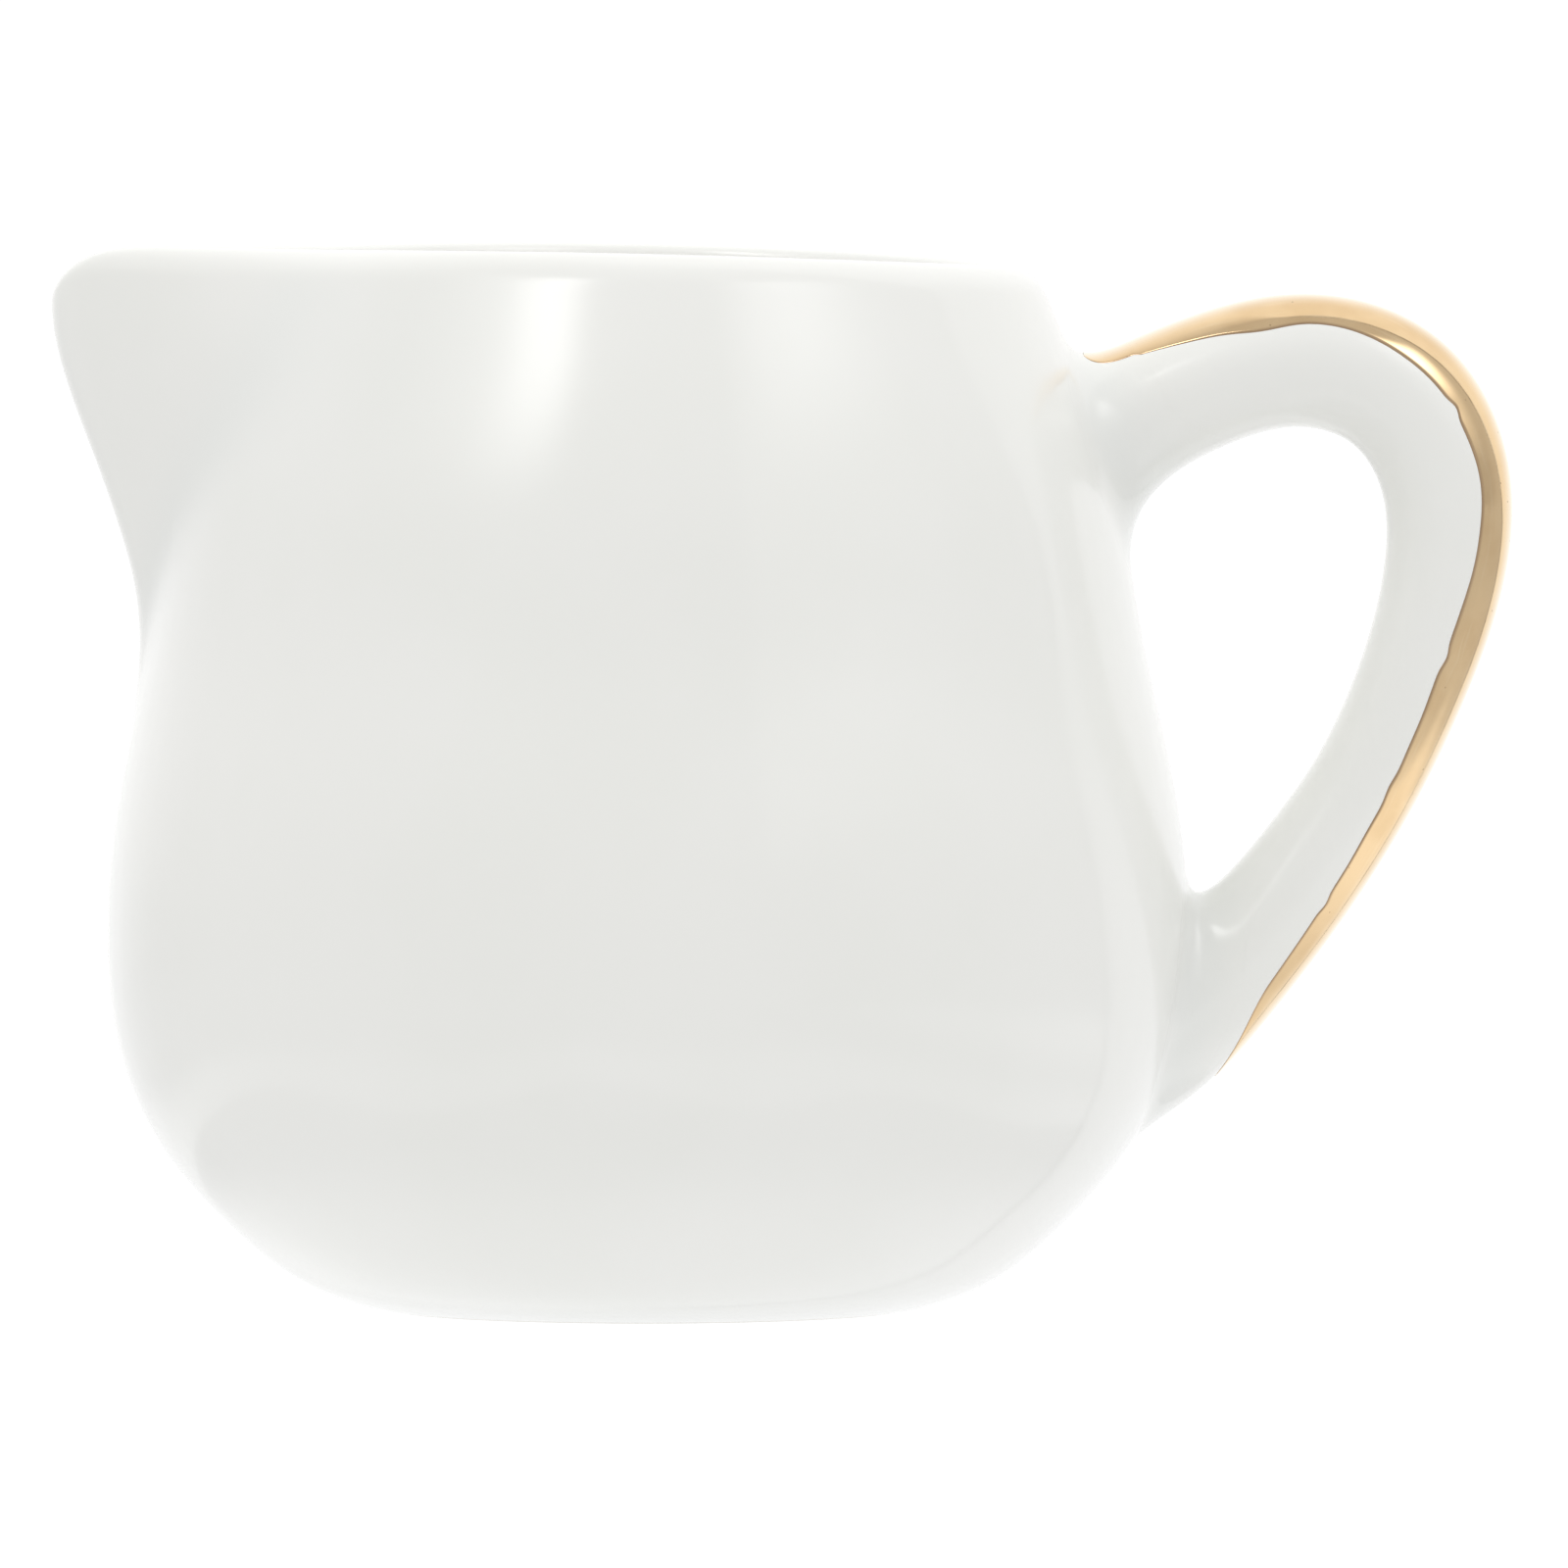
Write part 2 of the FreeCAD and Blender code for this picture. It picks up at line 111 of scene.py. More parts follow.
# ---- smooth curves ---------------------------------------------------------------------
class SmoothCurve:
    """A natural cubic spline through a few points, measured along its first two columns."""

    def __init__(self, points):
        self.values = np.array(points, float)
        steps = np.hypot(*np.diff(self.values[:, :2], axis=0).T)
        self.knots = np.concatenate([[0.0], np.cumsum(steps)])
        self.length = self.knots[-1]
        count = len(self.knots)
        system = np.eye(count)
        target = np.zeros_like(self.values)
        for i in range(1, count - 1):
            before, after = steps[i - 1], steps[i]
            system[i, i - 1:i + 2] = before, 2.0 * (before + after), after
            rise = (self.values[i + 1] - self.values[i]) / after
            target[i] = 6.0 * (rise - (self.values[i] - self.values[i - 1]) / before)
        self.bends = np.linalg.solve(system, target)

    def at(self, distance):
        """Points at these distances; beyond the ends the curve runs on straight."""
        distance = np.asarray(distance, float)
        inside = np.clip(distance, 0.0, self.length)
        i = np.clip(np.searchsorted(self.knots, inside) - 1, 0, len(self.knots) - 2)
        span = (self.knots[i + 1] - self.knots[i])[..., None]
        b = (inside - self.knots[i])[..., None] / span
        a = 1.0 - b
        near, far = self.values[i], self.values[i + 1]
        near_bend, far_bend = self.bends[i], self.bends[i + 1]
        point = a * near + b * far
        point += ((a ** 3 - a) * near_bend + (b ** 3 - b) * far_bend) * span ** 2 / 6.0
        slope = (far - near) / span
        slope += ((1.0 - 3.0 * a * a) * near_bend + (3.0 * b * b - 1.0) * far_bend) * span / 6.0
        return point + slope * (distance - inside)[..., None]

    def tabulate(self):
        """Makes first_at_height ready: the second column has to rise along the curve."""
        self.marks = np.linspace(-0.4 * self.length, 1.4 * self.length, 9001)
        self.table = self.at(self.marks)
        return self

    def first_at_height(self, height):
        return np.interp(height, self.table[:, 1], self.table[:, 0])

    def distance_at_height(self, height):
        return np.interp(height, self.table[:, 1], self.marks)


BODY = SmoothCurve(BODY_OUTLINE).tabulate()
BOWL_TOP = [(float(BODY.first_at_height(z)) - WALL, z) for z in (SPOUT_FOOT, SPOUT_FOOT + 6.0)]
BOWL = SmoothCurve(INNER_BOWL + BOWL_TOP)
SPOUT = SmoothCurve(SPOUT_OUTLINE).tabulate()
HANDLE = SmoothCurve(HANDLE_LINE)


def blend_max(a, b, width):
    """The larger of two values, with a soft changeover about this wide."""
    closeness = np.maximum(width - np.abs(a - b), 0.0) / width
    return np.maximum(a, b) + width * closeness ** 3 / 6.0


def smooth_step(value, low, high):
    share = np.clip((value - low) / (high - low), 0.0, 1.0)
    return share * share * (3.0 - 2.0 * share)


# ---- the body's wall -------------------------------------------------------------------
def spout_radius(angle, height, inset):
    """Distance from the axis to the beak, at an angle in radians from the spout's line."""
    spread = CHEEK_ANGLE + CHEEK_SPREAD * (height - CHEEK_HEIGHT)
    cheek = np.radians(np.maximum(spread, LEAST_CHEEK))
    tip_radius = TIP_RADIUS - inset
    centre = SPOUT.first_at_height(height) - TIP_RADIUS
    cheek_distance = centre * np.cos(cheek) + tip_radius
    turn = np.abs(angle)
    tangent = np.arctan2(tip_radius * np.sin(cheek), centre + tip_radius * np.cos(cheek))
    across = np.minimum(centre * np.sin(np.minimum(turn, tangent)), tip_radius)
    round_tip = centre * np.cos(turn) + np.sqrt(tip_radius ** 2 - across ** 2)
    flat_cheek = cheek_distance / np.cos(np.minimum(turn - cheek, 0.0))
    behind = cheek_distance * np.cos(turn - cheek)
    return np.where(turn > cheek, behind, np.where(turn > tangent, flat_cheek, round_tip))


def unevenness(angle, height):
    """The slight waviness of a hand-finished wall, fading out at the foot and the rim."""
    waves = 0.050 * np.sin(3.0 * angle + height / 9.0 + 0.6)
    waves += 0.040 * np.sin(5.0 * angle - height / 7.0 + 2.1)
    waves += 0.016 * np.sin(8.0 * angle + height / 5.5 + 4.0)
    waves += 0.026 * np.sin(height / 6.2 + 1.3 * np.sin(2.0 * angle + 0.8))
    return waves * smooth_step(height, 0.0, 9.0) * smooth_step(RIM_HEIGHT - height, -1.0, 8.0)


def wall_radius(angle, height, inset):
    """Radius of the wall's outside (inset 0) or of its inside (inset WALL) above SPOUT_FOOT."""
    round_part = BODY.first_at_height(height) - inset
    width = np.maximum(CREASE_WIDTH + CREASE_GROWTH * (height - CHEEK_HEIGHT), LEAST_CREASE)
    return blend_max(round_part, spout_radius(angle, height, inset), width) + unevenness(angle, height)


def rim_height(angle):
    """Height of the rim's crest: it slopes to the handle, bows up at the sides, dips at the tip."""
    slope = RIM_TILT * wall_radius(angle, RIM_HEIGHT, 0.0) * np.cos(angle)
    bow = RIM_SIDE_RISE * np.sin(angle) ** 2
    return RIM_HEIGHT + slope + bow - TIP_DROOP * np.exp(-(np.degrees(angle) / DROOP_ANGLE) ** 2)


def lip(angle, crest, inset, degrees):
    """Rings on one side of the rounded lip, at these angles up the roll."""
    half_lip = 0.5 * (wall_radius(angle, crest, 0.0) - wall_radius(angle, crest, WALL))
    inward = -1.0 if inset == 0.0 else 1.0
    rings = []
    for turn in np.radians(degrees):
        z = crest - LIP_HEIGHT * (1.0 - math.sin(turn))
        roll = half_lip * (1.0 - math.cos(turn))
        rings.append((wall_radius(angle, z, inset) + inward * roll, z))
    return rings


def body_rings():
    """(radius, height) arrays round the body, from under the foot over the lip to the floor."""
    share = -1.0 + 2.0 * (np.arange(AROUND) + 0.5) / AROUND
    angle = np.pi * (share - SPOUT_CROWDING * np.sin(np.pi * share) / np.pi)
    rings = [(np.full(AROUND, r), np.full(AROUND, z)) for r, z in UNDERSIDE[1:]]
    belly = BODY.distance_at_height(SPOUT_FOOT)
    for distance in np.concatenate([[0.35, 0.9, 1.6], np.linspace(2.4, belly, 44)]):
        r, z = BODY.at(distance)
        lifted = z + 0.12 * math.exp(-distance / 0.3)
        rings.append((r + unevenness(angle, z), np.full(AROUND, lifted)))
    crest = rim_height(angle)
    top = crest - LIP_HEIGHT
    heights = [SPOUT_FOOT + (top - SPOUT_FOOT) * k / 70.0 for k in range(1, 71)]
    roll = list(range(9, 91, 9))
    rings += [(wall_radius(angle, z, 0.0), z) for z in heights]
    rings += lip(angle, crest, 0.0, roll)
    rings += lip(angle, crest, WALL, roll[-2::-1])
    rings += [(wall_radius(angle, z, WALL), z) for z in heights[::-1]]
    bowl = BOWL.knots[len(INNER_BOWL)]
    for distance in np.linspace(bowl, 0.0, 36):
        r, z = BOWL.at(distance)
        rings.append((r + unevenness(angle, z) * smooth_step(r, 14.0, 26.0), np.full(AROUND, z)))
    rings += [(np.full(AROUND, r), np.full(AROUND, 4.5 - 0.004 * (11.0 - r))) for r in (8.0, 5.0, 2.5)]
    grid = [np.stack([-r * np.cos(angle), -r * np.sin(angle), z], axis=-1) for r, z in rings]
    return np.array(grid)


# ---- the handle ------------------------------------------------------------------------
def handle_point(distance, turn, swell=0.0):
    """Points on the handle; a turn of 0 is the outer back and pi the side by the fingers."""
    distance, turn = np.broadcast_arrays(distance, turn)
    section = HANDLE.at(distance)
    ahead = HANDLE.at(distance + 0.05)[..., :2] - HANDLE.at(distance - 0.05)[..., :2]
    ahead /= np.linalg.norm(ahead, axis=-1, keepdims=True)
    out = (section[..., 2] + swell) * np.cos(turn)
    across = (section[..., 3] + swell) * np.sin(turn)
    x = section[..., 0] - ahead[..., 1] * out
    return np.stack([x, across, section[..., 1] + ahead[..., 0] * out], -1)


def clearance(point):
    """How far points stand out from the body's surface, measured level."""
    angle = np.arctan2(-point[..., 1], -point[..., 0])
    surface = BODY.first_at_height(point[..., 2]) + unevenness(angle, point[..., 2])
    return np.hypot(point[..., 0], point[..., 1]) - surface


def on_body(y, z, lift=0.0):
    """Points of the body's surface beside the handle, at these y and z."""
    x = np.sqrt(np.maximum(BODY.first_at_height(z) ** 2 - y ** 2, 1.0))
    for _ in range(3):
        reach = BODY.first_at_height(z) + unevenness(np.arctan2(-y, -x), z) + lift
        x = np.sqrt(np.maximum(reach ** 2 - y ** 2, 1.0))
    return np.stack([x, y, z], -1)


def distance_at_x(x, low, high):
    """Distance along the handle between low and high where its line reaches this x."""
    rising = HANDLE.at(low)[0] < HANDLE.at(high)[0]
    for _ in range(50):
        middle = 0.5 * (low + high)
        if (HANDLE.at(middle)[0] < x) == rising:
            low = middle
        else:
            high = middle
    return 0.5 * (low + high)


def ruling_distance(turn, gap, root):
    """Distance along the handle where its surface stands this far out from the body."""
    inner = np.full(np.shape(turn), float(root[0]))
    outer = np.full(np.shape(turn), float(root[1]))
    for _ in range(44):
        middle = 0.5 * (inner + outer)
        near = clearance(handle_point(middle, turn)) < gap
        inner = np.where(near, middle, inner)
        outer = np.where(near, outer, middle)
    return inner


HALF = 0.5 * HANDLE.length
UPPER_RANGE = [distance_at_x(x, 0.0, HALF) for x in UPPER_ROOT]
LOWER_RANGE = [distance_at_x(x, HALF, HANDLE.length) for x in LOWER_ROOT]


def handle_rings():
    """Rings along the handle, both ends cut to the body's curve a little inside its wall."""
    turn = 2.0 * np.pi * np.arange(HANDLE_AROUND) / HANDLE_AROUND
    start = ruling_distance(turn, -ROOT_DEPTH, UPPER_RANGE)
    end = ruling_distance(turn, -ROOT_DEPTH, LOWER_RANGE)
    shares = np.linspace(0.0, 1.0, HANDLE_ROWS)
    return np.array([handle_point(start + (end - start) * share, turn) for share in shares])


# ---- the slip joints -------------------------------------------------------------------
def slip_size(turn, sizes):
    back, side, fingers = sizes
    end_size = np.where(np.cos(turn) > 0.0, back, fingers)
    return side + (end_size - side) * np.cos(turn) ** 2


def unit(vector):
    return vector / np.linalg.norm(vector, axis=-1, keepdims=True)


def slip_curve(turn, sizes, root):
    """The fillet's four control points at each turn round the root.

    After them come the direction away from the handle and the distance along it of its outer end.
    """
    size = slip_size(turn, sizes)
    meeting = handle_point(ruling_distance(turn, 0.0, root), turn)
    far_distance = ruling_distance(turn, SLIP_RUN_OUT * size, root)
    on_handle = handle_point(far_distance, turn)
    centre = HANDLE.at(ruling_distance(turn, 0.0, root))[..., 1]
    away = unit(np.stack([meeting[..., 1], meeting[..., 2] - centre], -1))
    foot_y = meeting[..., 1] + size * away[..., 0]
    foot_z = meeting[..., 2] + size * away[..., 1]
    foot = on_body(foot_y, foot_z)
    inward = unit(on_body(foot_y - 0.05 * away[..., 0], foot_z - 0.05 * away[..., 1]) - foot)
    homeward = 0.05 if root is UPPER_RANGE else -0.05
    along = unit(handle_point(far_distance - homeward, turn) - on_handle)
    body_pull = 0.76 * np.linalg.norm(meeting - foot, axis=-1, keepdims=True)
    handle_pull = 0.74 * np.linalg.norm(meeting - on_handle, axis=-1, keepdims=True)
    return foot, foot + inward * body_pull, on_handle + along * handle_pull, on_handle, away, far_distance


def bezier(points, share):
    a, b, c, d = points
    rest = 1.0 - share
    return rest ** 3 * a + 3.0 * rest ** 2 * share * b + 3.0 * rest * share ** 2 * c + share ** 3 * d


def slip_rings(sizes, root):
    """Closed cross-sections of the collar: the smooth fillet, and hidden faces under it."""
    turn = 2.0 * np.pi * np.arange(SLIP_AROUND) / SLIP_AROUND
    foot, pull_a, pull_b, on_handle, away, far = slip_curve(turn, sizes, root)
    outward = 1.0 if root is UPPER_RANGE else -1.0
    loop = []
    for reach, sink in ((0.9, -0.5), (0.5, -0.05), (0.16, -0.008)):
        loop.append(on_body(foot[:, 1] + reach * away[:, 0], foot[:, 2] + reach * away[:, 1], sink))
    loop += [bezier((foot, pull_a, pull_b, on_handle), s) for s in np.linspace(0.0, 1.0, 25)]
    for reach, sink in ((0.16, -0.006), (0.5, -0.05), (0.9, -0.5)):
        loop.append(handle_point(far + outward * reach, turn, sink))
    meeting = ruling_distance(turn, -0.4, root)
    loop.append(handle_point(meeting, turn, -0.7))
    return np.swapaxes(np.array(loop), 0, 1)


# ---- the gilding -----------------------------------------------------------------------
def painted_angle(distance, side):
    """Half angle of the painted band, with the unsteadiness of a brush, on one side of it."""
    base = HANDLE.at(distance)[..., 4]
    wobble = 1.1 * np.sin(distance / 3.7 + 1.2 * side) + 0.8 * np.sin(distance / 2.3 + 2.0 * side + 1.0)
    wobble += 0.5 * np.sin(distance / 0.9 + 3.0 * side) * np.sin(distance / 7.0 + side)
    wobble += 6.0 * np.exp(-((distance - 19.5) / 2.0) ** 2) - 3.0 * np.exp(-((distance - 12.5) / 2.5) ** 2)
    for spot, depth, width in ((31.0, -3.5, 0.5), (46.0, -3.0, 0.7), (55.0, 2.5, 0.9), (63.5, -2.5, 0.6)):
        wobble += depth * np.exp(-((distance - spot - 2.0 * side) / width) ** 2)
    return np.radians(base + wobble)


def painted_turns(distance, sweep):
    """Turns across the painted band; sweep runs from -1 at one edge to 1 at the other."""
    return sweep * np.where(sweep < 0.0, painted_angle(distance, 0.0), painted_angle(distance, 1.0))


def gilt_rings():
    """Closed cross-sections of the painted band, from its blob at the upper root to its tail."""
    columns = GILT_COLUMNS
    sweep = np.linspace(-1.0, 1.0, columns)
    tail = distance_at_x(GILT_END, HALF, HANDLE.length)
    head = float(ruling_distance(np.array(0.0), 0.0, UPPER_RANGE)) + 1.0
    rows = []
    for share in np.linspace(0.0, 1.0, GILT_HEAD_ROWS)[1:]:
        turn = painted_turns(head + 1.5, sweep) * (1.0 - (1.0 - share) ** 2) ** 0.4
        points = slip_curve(turn, UPPER_SLIP, UPPER_RANGE)[:4]
        rows.append(bezier(points, 0.42 + 0.54 * share))
    begin = slip_curve(turn, UPPER_SLIP, UPPER_RANGE)[5] + 0.05
    for share in np.linspace(0.0, 1.0, GILT_ROWS):
        fade = math.sqrt(max(1.0 - share ** 30, 0.0)) * (1.0 - 0.35 * smooth_step(share, 0.90, 1.0))
        distance = begin + (tail - begin) * share
        rows.append(handle_point(distance, painted_turns(distance, sweep) * max(fade, 0.03)))
    top = np.array(rows)
    normal = unit(np.cross(np.gradient(top, axis=0), np.gradient(top, axis=1)))
    if normal[len(rows) // 2, columns // 2, 0] < 0.0:
        normal = -normal
    film = GILT_LIFT * (1.0 - np.abs(sweep) ** 12)[None, :, None]
    under = top[:, ::-1] - GILT_UNDER * normal[:, ::-1]
    return np.concatenate([top + normal * (film + 0.004), under], axis=1), columns


# ---- meshes ----------------------------------------------------------------------------
body_low, body_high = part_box("body")
CREST = float(np.max(rim_height(np.linspace(-math.pi, math.pi, 2001))))
MM = (body_high[2] - body_low[2]) / CREST
FRAME_ORIGIN = np.array([0.0, 0.0, body_low[2]])


def skin_object(name, rings, closed_lengthwise, marks):
    """One closed, smooth mesh through the rings; marks are values painted on its points."""
    rows, columns = rings.shape[:2]
    points = list((rings.reshape(-1, 3) * MM + FRAME_ORIGIN).tolist())
    faces = []
    for i in range(rows if closed_lengthwise else rows - 1):
        near = i * columns
        far = (i + 1) % rows * columns
        for j in range(columns):
            k = (j + 1) % columns
            faces.append((near + j, near + k, far + k, far + j))
    if not closed_lengthwise:
        for row in (0, rows - 1):
            first = row * columns
            points.append((rings[row].mean(axis=0) * MM + FRAME_ORIGIN).tolist())
            centre = len(points) - 1
            faces += [(first + j, first + (j + 1) % columns, centre) for j in range(columns)]
    mesh = bpy.data.meshes.new(name)
    mesh.from_pydata(points, [], faces)
    for mark, values in marks.items():
        layer = mesh.attributes.new(mark, "FLOAT", "POINT")
        flat = np.zeros(len(points), np.float32)
        flat[:rows * columns] = np.asarray(values, np.float32).reshape(-1)
        if not closed_lengthwise:
            flat[rows * columns] = flat[0]
            flat[rows * columns + 1] = flat[rows * columns - 1]
        layer.data.foreach_set("value", flat)
    mesh.validate()
    mesh.update()
    if signed_volume(mesh) < 0.0:
        mesh.flip_normals()
    mesh.shade_smooth()
    piece = bpy.data.objects.new(name, mesh)
    bpy.context.scene.collection.objects.link(piece)
    return piece


def signed_volume(mesh):
    """Volume inside the mesh; negative when its faces point inwards."""
    mesh.calc_loop_triangles()
    corners = np.empty(len(mesh.loop_triangles) * 3, np.int32)
    mesh.loop_triangles.foreach_get("vertices", corners)
    places = np.empty(len(mesh.vertices) * 3)
    mesh.vertices.foreach_get("co", places)
    a, b, c = np.moveaxis(places.reshape(-1, 3)[corners.reshape(-1, 3)], 1, 0)
    return float(np.einsum("ij,ij->", a, np.cross(b, c)) / 6.0)


def place(piece, node, material):
    piece.data.materials.append(material)
    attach(piece, "root")
    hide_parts(node)


# ---- shader graphs ---------------------------------------------------------------------
class Graph:
    """Builds a shader from short calls; an input is a number, a colour or a node's output."""

    def __init__(self, tree):
        self.tree = tree
        tree.nodes.clear()

    def feed(self, socket, value):
        if isinstance(value, bpy.types.NodeSocket):
            self.tree.links.new(value, socket)
        else:
            socket.default_value = value

    def add(self, kind, settings=None, output=0, **inputs):
        node = self.tree.nodes.new("ShaderNode" + kind)
        for name, value in (settings or {}).items():
            setattr(node, name, value)
        for name, value in inputs.items():
            self.feed(node.inputs[name.replace("_", " ")], value)
        return node.outputs[output] if node.outputs else None

    def math(self, operation, *values):
        node = self.tree.nodes.new("ShaderNodeMath")
        node.operation = operation
        for socket, value in zip(node.inputs, values):
            self.feed(socket, value)
        return node.outputs[0]

    def add_shader(self, first, second):
        node = self.tree.nodes.new("ShaderNodeAddShader")
        self.feed(node.inputs[0], first)
        self.feed(node.inputs[1], second)
        return node.outputs[0]

    def blend(self, share, a, b):
        """a where share is 0 and b where it is 1, for plain numbers."""
        node = self.tree.nodes.new("ShaderNodeMix")
        for socket, value in zip(node.inputs[0:1] + node.inputs[2:4], (share, a, b)):
            self.feed(socket, value)
        return node.outputs[0]

    def mix(self, share, a, b):
        node = self.tree.nodes.new("ShaderNodeMix")
        node.data_type = "RGBA"
        self.feed(node.inputs[0], share)
        self.feed(node.inputs[6], a)
        self.feed(node.inputs[7], b)
        return node.outputs[2]

    def ramp(self, value, low, high, start=0.0, end=1.0):
        """value from low..high eased to start..end, and held beyond them."""
        node = self.tree.nodes.new("ShaderNodeMapRange")
        node.interpolation_type = "SMOOTHSTEP"
        for socket, number in zip(node.inputs, (value, low, high, start, end)):
            self.feed(socket, number)
        return node.outputs[0]


def millimetres(graph):
    """The point on the surface, in millimetres."""
    place_on = graph.add("TexCoord", output=3)
    node = graph.tree.nodes.new("ShaderNodeVectorMath")
    node.operation = "SCALE"
    graph.feed(node.inputs[0], place_on)
    node.inputs[3].default_value = 1.0 / MM
    return node.outputs[0]


def noise(graph, point, size, detail=2.0, roughness=0.5):
    """Smooth noise whose lumps are about this many millimetres across."""
    return graph.add("TexNoise", Vector=point, Scale=1.0 / size, Detail=detail, Roughness=roughness)


def porcelain_material():
    """White porcelain under a clear gloss glaze, bare where the foot ring was wiped clean, with a painted
    glow on the inside of the wall.
    """
    material = bpy.data.materials.new("glazed_porcelain")
    material.use_nodes = True
    g = Graph(material.node_tree)
    point = millimetres(g)
    pool = g.add("Attribute", {"attribute_name": "pool"}, output=2)
    bare = g.add("Attribute", {"attribute_name": "bare"}, output=2)

    cloud = noise(g, point, 16.0, 3.0)
    white = g.mix(g.ramp(cloud, 0.35, 0.65), (0.864, 0.865, 0.832, 1.0), (0.876, 0.875, 0.846, 1.0))
    pooled = g.mix(g.math("MULTIPLY", pool, 0.5), white, (0.800, 0.820, 0.800, 1.0))
    cells = g.add("TexVoronoi", {"feature": "F1"}, output=0, Vector=point, Scale=1.0 / 9.0)
    chance = g.add("TexVoronoi", {"feature": "F1"}, output=1, Vector=point, Scale=1.0 / 9.0)
    chosen = g.ramp(g.add("SeparateColor", Color=chance), 0.90, 0.91)
    dot = g.math("MULTIPLY", g.ramp(cells, 0.011, 0.019, 1.0, 0.0), chosen)
    specked = g.mix(g.math("MULTIPLY", dot, 0.75), pooled, (0.22, 0.17, 0.12, 1.0))
    clay = g.mix(noise(g, point, 0.5, 4.0, 0.7), (0.70, 0.66, 0.58, 1.0), (0.80, 0.77, 0.70, 1.0))
    colour = g.mix(bare, specked, clay)

    waviness = g.add("Bump", Strength=1.0, Distance=6.0e-6, Height=noise(g, point, 5.5, 1.0))
    peel = g.add("Bump", Strength=1.0, Distance=5.0e-7, Height=noise(g, point, 1.1, 1.0), Normal=waviness)
    sand = noise(g, point, 0.25, 3.0, 0.7)
    grain = g.add("Bump", Strength=1.0, Distance=2.0e-5, Height=sand, Normal=waviness)
    base_normal = g.tree.nodes.new("ShaderNodeMix")
    base_normal.data_type = "VECTOR"
    g.feed(base_normal.inputs[0], bare)
    g.feed(base_normal.inputs[4], peel)
    g.feed(base_normal.inputs[5], grain)

    # Painted glow: the inside of the wall emits a little light, standing in for light that comes through
    # the thin porcelain.
    inside = g.add("Attribute", {"attribute_name": "inside"}, output=2)
    painted_inner_glow = g.math("MULTIPLY", inside, INSIDE_GLOW)
    rough = g.ramp(bare, 0.0, 1.0, 0.34, 0.85)
    shader = g.add(
        "BsdfPrincipled", Base_Color=colour, Emission_Strength=painted_inner_glow, Roughness=rough, IOR=1.5,
        Specular_IOR_Level=0.25, Coat_Weight=g.math("SUBTRACT", 1.0, bare),
        Coat_Roughness=g.ramp(noise(g, point, 7.0, 2.0), 0.3, 0.7, 0.10, 0.13),
        Coat_IOR=1.42, Normal=base_normal.outputs[1], Coat_Normal=peel)
    g.add("OutputMaterial", Surface=shader)
    return material


def gilding_material():
    """Burnished liquid gold put on with a brush: soft streaks, a few pits, a darker thin edge, and a
    painted sheen that makes it paler at grazing angles.
    """
    material = bpy.data.materials.new("gilding")
    material.use_nodes = True
    g = Graph(material.node_tree)
    point = millimetres(g)
    edge = g.add("Attribute", {"attribute_name": "edge"}, output=2)
    along = g.add("Attribute", {"attribute_name": "along"}, output=2)
    across = g.add("Attribute", {"attribute_name": "across"}, output=2)
    stroke = g.add("CombineXYZ", X=g.math("MULTIPLY", along, 0.10), Y=g.math("MULTIPLY", across, 2.6))

    streak = g.add("TexNoise", Vector=stroke, Scale=1.0, Detail=3.0, Roughness=0.55)
    cloud = noise(g, point, 4.0, 3.0)
    gold = g.mix(g.ramp(cloud, 0.3, 0.7), (0.78, 0.56, 0.32, 1.0), (0.86, 0.64, 0.385, 1.0))
    # Painted sheen: the gold is mixed towards pale cream at grazing angles, standing in for the bright
    # reflection where the band turns away from view.
    slant = g.add("LayerWeight", output=1, Blend=0.5)
    painted_sheen_gold = g.mix(g.ramp(slant, 0.45, 0.97), gold, (1.0, 0.90, 0.74, 1.0))
    rubbed = g.mix(g.math("MULTIPLY", g.ramp(streak, 0.55, 0.75), 0.35), painted_sheen_gold, (0.93, 0.76, 0.52, 1.0))
    pits = g.ramp(g.add("TexVoronoi", Vector=point, Scale=1.0 / 1.6), 0.03, 0.06, 1.0, 0.0)
    pitted = g.mix(g.math("MULTIPLY", pits, 0.6), rubbed, (0.30, 0.19, 0.10, 1.0))
    colour = g.mix(g.math("MULTIPLY", edge, 0.8), pitted, (0.34, 0.22, 0.15, 1.0))

    ripple = g.add("Bump", Strength=1.0, Distance=6.0e-6, Height=noise(g, point, 2.4, 2.0))
    brushed = g.add("Bump", Strength=1.0, Distance=1.0e-6, Height=streak, Normal=ripple)
    rough = g.math("ADD", g.ramp(streak, 0.3, 0.8, 0.06, 0.16), g.math("MULTIPLY", edge, 0.2))
    shader = g.add("BsdfPrincipled", Base_Color=colour, Metallic=1.0, Roughness=rough, Normal=brushed)
    g.add("OutputMaterial", Surface=shader)
    return material


# ---- the pieces ------------------------------------------------------------------------
def band(value, low, high, soft):
    """1 between low and high, easing to 0 over a soft margin outside them."""
    return smooth_step(value, low - soft, low) * (1.0 - smooth_step(value, high, high + soft))


